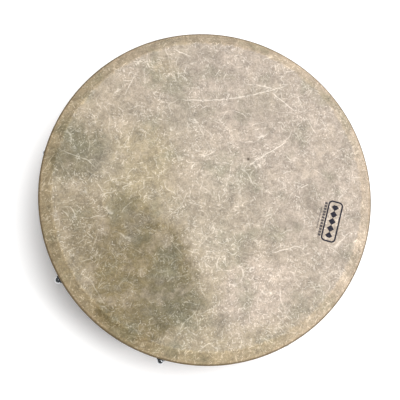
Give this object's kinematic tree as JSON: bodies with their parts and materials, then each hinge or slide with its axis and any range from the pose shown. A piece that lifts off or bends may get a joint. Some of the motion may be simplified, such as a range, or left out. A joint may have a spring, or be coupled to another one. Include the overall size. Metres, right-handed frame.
{
  "type": "frame drum",
  "caption": "Round frame drum, a lapped fibre-look head on a plywood hoop, tightened from inside by a ring on screws, with crossbars in its open back.",
  "frame": {"origin": "centre of the hoop's back edge, on the plane the drum stands on", "axes": "+Z along the drum's axis towards the head, +X along the long crossbar; the first tuner is 22.5 degrees round from +X and the rest follow every 45 degrees"},
  "size_m": [0.4112, 0.4112, 0.1244],
  "materials": {
    "head_film": "satin laminated film with random pale fibres",
    "shell_ply": "bent maple ply, stained and satin lacquered",
    "ring_ply": "bare bent ply",
    "bar_wood": "oiled hardwood",
    "binding": "flat dark trim strip",
    "zinc_steel": "zinc-plated steel",
    "black_steel": "black oxide steel",
    "chrome": "polished"
  },
  "bodies": {
    "frame": {"shell": "shell_ply", "head_film": "head_film", "binding_band": "binding", "bracket_bolts": "zinc_steel", "bolt_washers": "chrome", "cap_nuts": "chrome", "crossbar_long": "bar_wood", "crossbar_cross": "bar_wood", "cup_washers": "chrome", "crossbar_screws": "chrome", "tuner_bracket_1": "zinc_steel", "tuner_bracket_2": "zinc_steel", "tuner_bracket_3": "zinc_steel", "tuner_bracket_4": "zinc_steel", "tuner_bracket_5": "zinc_steel", "tuner_bracket_6": "zinc_steel", "tuner_bracket_7": "zinc_steel", "tuner_bracket_8": "zinc_steel"},
    "tuning_ring": {"tuning_ring": "ring_ply", "thrust_plates": "zinc_steel", "plate_tacks": "zinc_steel"},
    "tuning_screw_1": {"tuning_screw_1": "black_steel"},
    "tuning_screw_2": {"tuning_screw_2": "black_steel"},
    "tuning_screw_3": {"tuning_screw_3": "black_steel"},
    "tuning_screw_4": {"tuning_screw_4": "black_steel"},
    "tuning_screw_5": {"tuning_screw_5": "black_steel"},
    "tuning_screw_6": {"tuning_screw_6": "black_steel"},
    "tuning_screw_7": {"tuning_screw_7": "black_steel"},
    "tuning_screw_8": {"tuning_screw_8": "black_steel"}
  },
  "joints": [
    {"name": "ring_lift", "type": "slide", "parent": "frame", "child": "tuning_ring", "axis": [0, 0, 1], "range_m": [-0.003, 0]},
    {"name": "screw_turn_1", "type": "hinge", "parent": "tuning_ring", "child": "tuning_screw_1", "pos_m": [0.16722, 0.06927, 0.077], "axis": [0, 0, 1], "range_deg": [-1085, 5]},
    {"name": "screw_turn_2", "type": "hinge", "parent": "tuning_ring", "child": "tuning_screw_2", "pos_m": [0.06927, 0.16722, 0.077], "axis": [0, 0, 1], "range_deg": [-1085, 5]},
    {"name": "screw_turn_3", "type": "hinge", "parent": "tuning_ring", "child": "tuning_screw_3", "pos_m": [-0.06927, 0.16722, 0.077], "axis": [0, 0, 1], "range_deg": [-1085, 5]},
    {"name": "screw_turn_4", "type": "hinge", "parent": "tuning_ring", "child": "tuning_screw_4", "pos_m": [-0.16722, 0.06927, 0.077], "axis": [0, 0, 1], "range_deg": [-1085, 5]},
    {"name": "screw_turn_5", "type": "hinge", "parent": "tuning_ring", "child": "tuning_screw_5", "pos_m": [-0.16722, -0.06927, 0.077], "axis": [0, 0, 1], "range_deg": [-1085, 5]},
    {"name": "screw_turn_6", "type": "hinge", "parent": "tuning_ring", "child": "tuning_screw_6", "pos_m": [-0.06927, -0.16722, 0.077], "axis": [0, 0, 1], "range_deg": [-1085, 5]},
    {"name": "screw_turn_7", "type": "hinge", "parent": "tuning_ring", "child": "tuning_screw_7", "pos_m": [0.06927, -0.16722, 0.077], "axis": [0, 0, 1], "range_deg": [-1085, 5]},
    {"name": "screw_turn_8", "type": "hinge", "parent": "tuning_ring", "child": "tuning_screw_8", "pos_m": [0.16722, -0.06927, 0.077], "axis": [0, 0, 1], "range_deg": [-1085, 5]}
  ],
  "couplings": [
    {"joint": "screw_turn_1", "follows": "ring_lift", "rad_per_m": 6283.2},
    {"joint": "screw_turn_2", "follows": "ring_lift", "rad_per_m": 6283.2},
    {"joint": "screw_turn_3", "follows": "ring_lift", "rad_per_m": 6283.2},
    {"joint": "screw_turn_4", "follows": "ring_lift", "rad_per_m": 6283.2},
    {"joint": "screw_turn_5", "follows": "ring_lift", "rad_per_m": 6283.2},
    {"joint": "screw_turn_6", "follows": "ring_lift", "rad_per_m": 6283.2},
    {"joint": "screw_turn_7", "follows": "ring_lift", "rad_per_m": 6283.2},
    {"joint": "screw_turn_8", "follows": "ring_lift", "rad_per_m": 6283.2}
  ]
}
